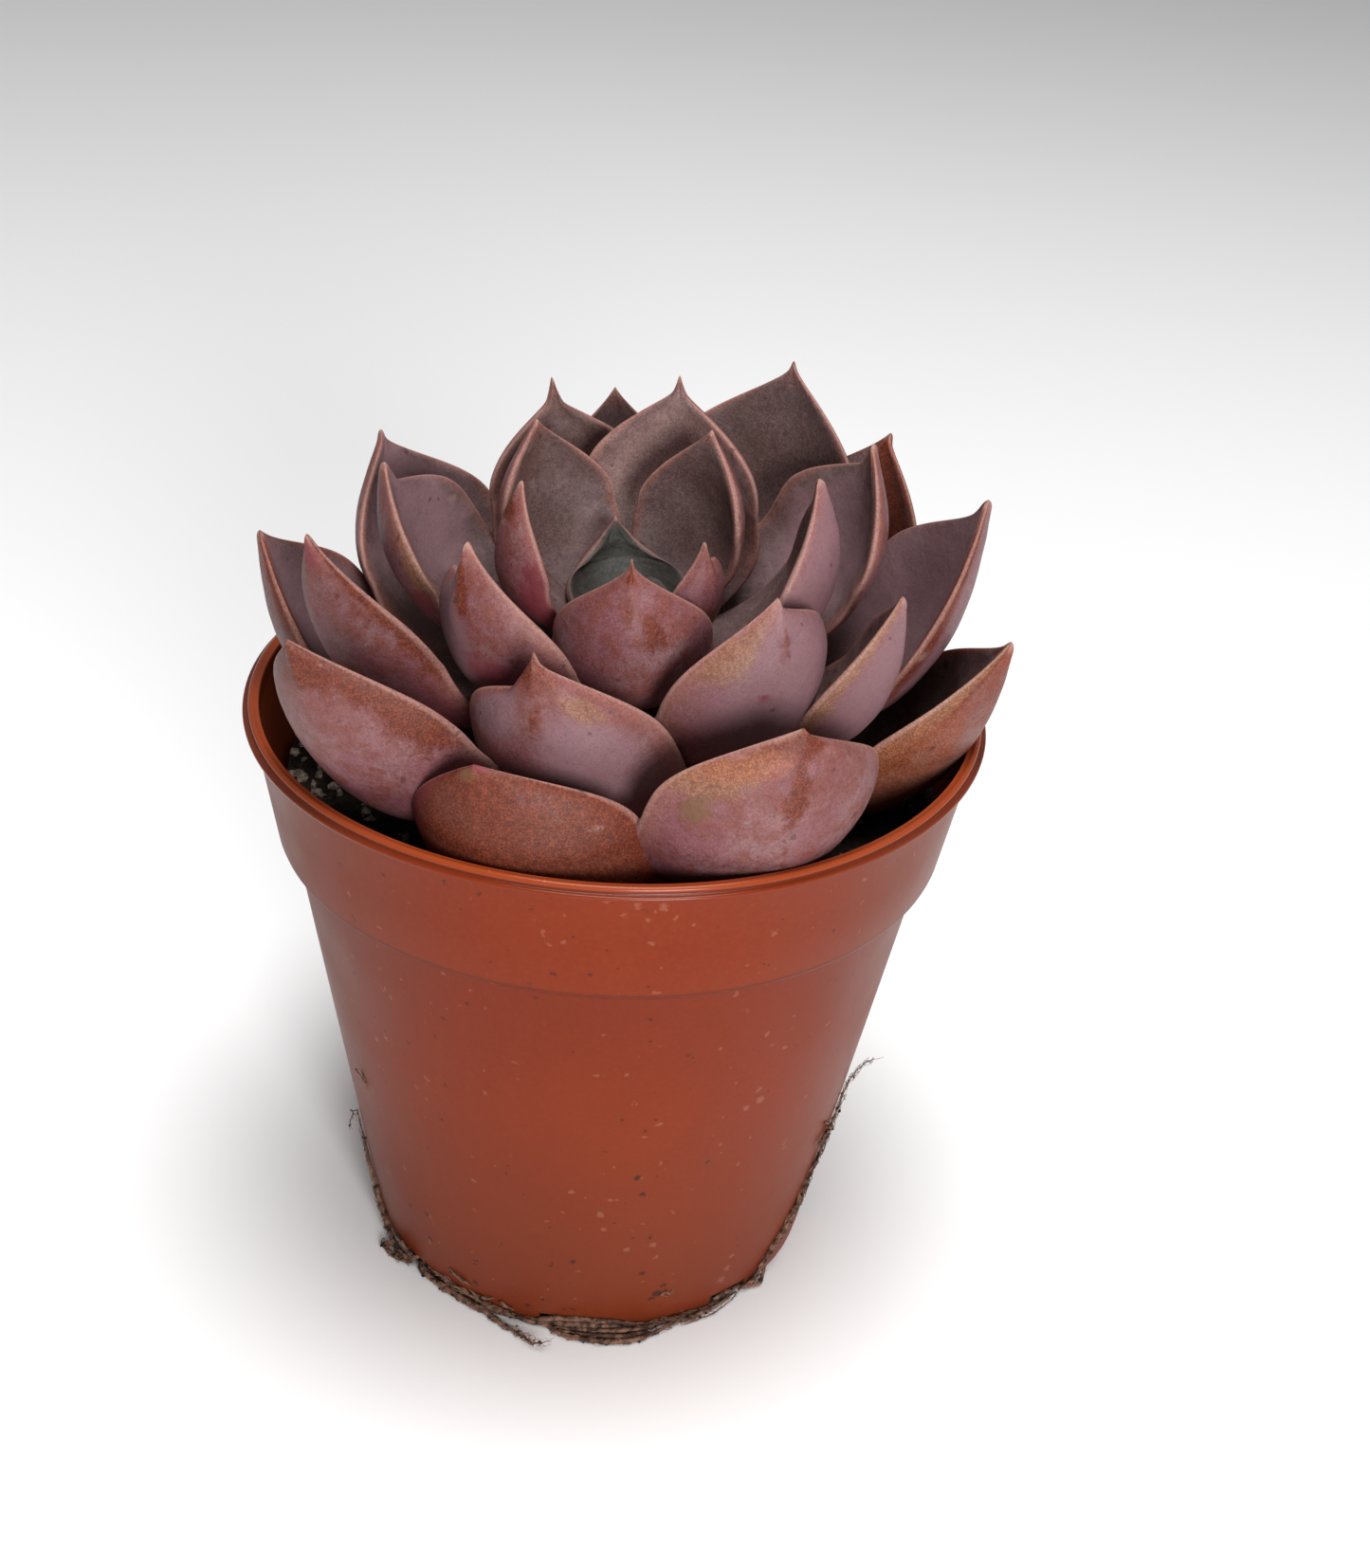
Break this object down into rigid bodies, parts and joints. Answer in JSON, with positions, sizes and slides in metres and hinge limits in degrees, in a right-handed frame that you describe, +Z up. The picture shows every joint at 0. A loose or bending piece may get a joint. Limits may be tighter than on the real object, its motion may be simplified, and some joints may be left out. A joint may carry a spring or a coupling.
{
  "type": "potted succulent",
  "caption": "Rosette succulent with thick pointed leaves on a short stem, in a tapered round grower's pot with a collared rim.",
  "frame": {"origin": "centre of the pot's base, in the plane that the pot stands on", "axes": "+Z up along the pot's axis; -Y to the front, the side that the rosette leans to; +X to the right as seen from the front"},
  "size_m": [0.09, 0.09, 0.1114],
  "materials": {
    "pot": "satin",
    "soil": "matte",
    "stem": "matte",
    "heart_leaf": "satin",
    "leaf": "satin",
    "old_leaf": "satin",
    "root": "matte"
  },
  "bodies": {
    "root": {"pot": "pot", "soil": "soil", "stem": "stem", "leaf_01": "heart_leaf", "leaf_02": "heart_leaf", "leaf_03": "heart_leaf", "leaf_04": "heart_leaf", "leaf_05": "heart_leaf", "leaf_06": "leaf", "leaf_07": "leaf", "leaf_08": "leaf", "leaf_09": "leaf", "leaf_10": "leaf", "leaf_11": "leaf", "leaf_12": "leaf", "leaf_13": "leaf", "leaf_14": "leaf", "leaf_15": "leaf", "leaf_16": "leaf", "leaf_17": "leaf", "leaf_18": "leaf", "leaf_19": "leaf", "leaf_20": "leaf", "leaf_21": "leaf", "leaf_22": "leaf", "leaf_23": "leaf", "leaf_24": "leaf", "leaf_25": "leaf", "leaf_26": "leaf", "leaf_27": "old_leaf", "leaf_28": "old_leaf", "leaf_29": "old_leaf", "leaf_30": "old_leaf", "leaf_31": "old_leaf", "leaf_32": "old_leaf", "root_left": "root", "root_hook": "root", "root_front": "root", "root_right": "root"}
  },
  "joints": []
}
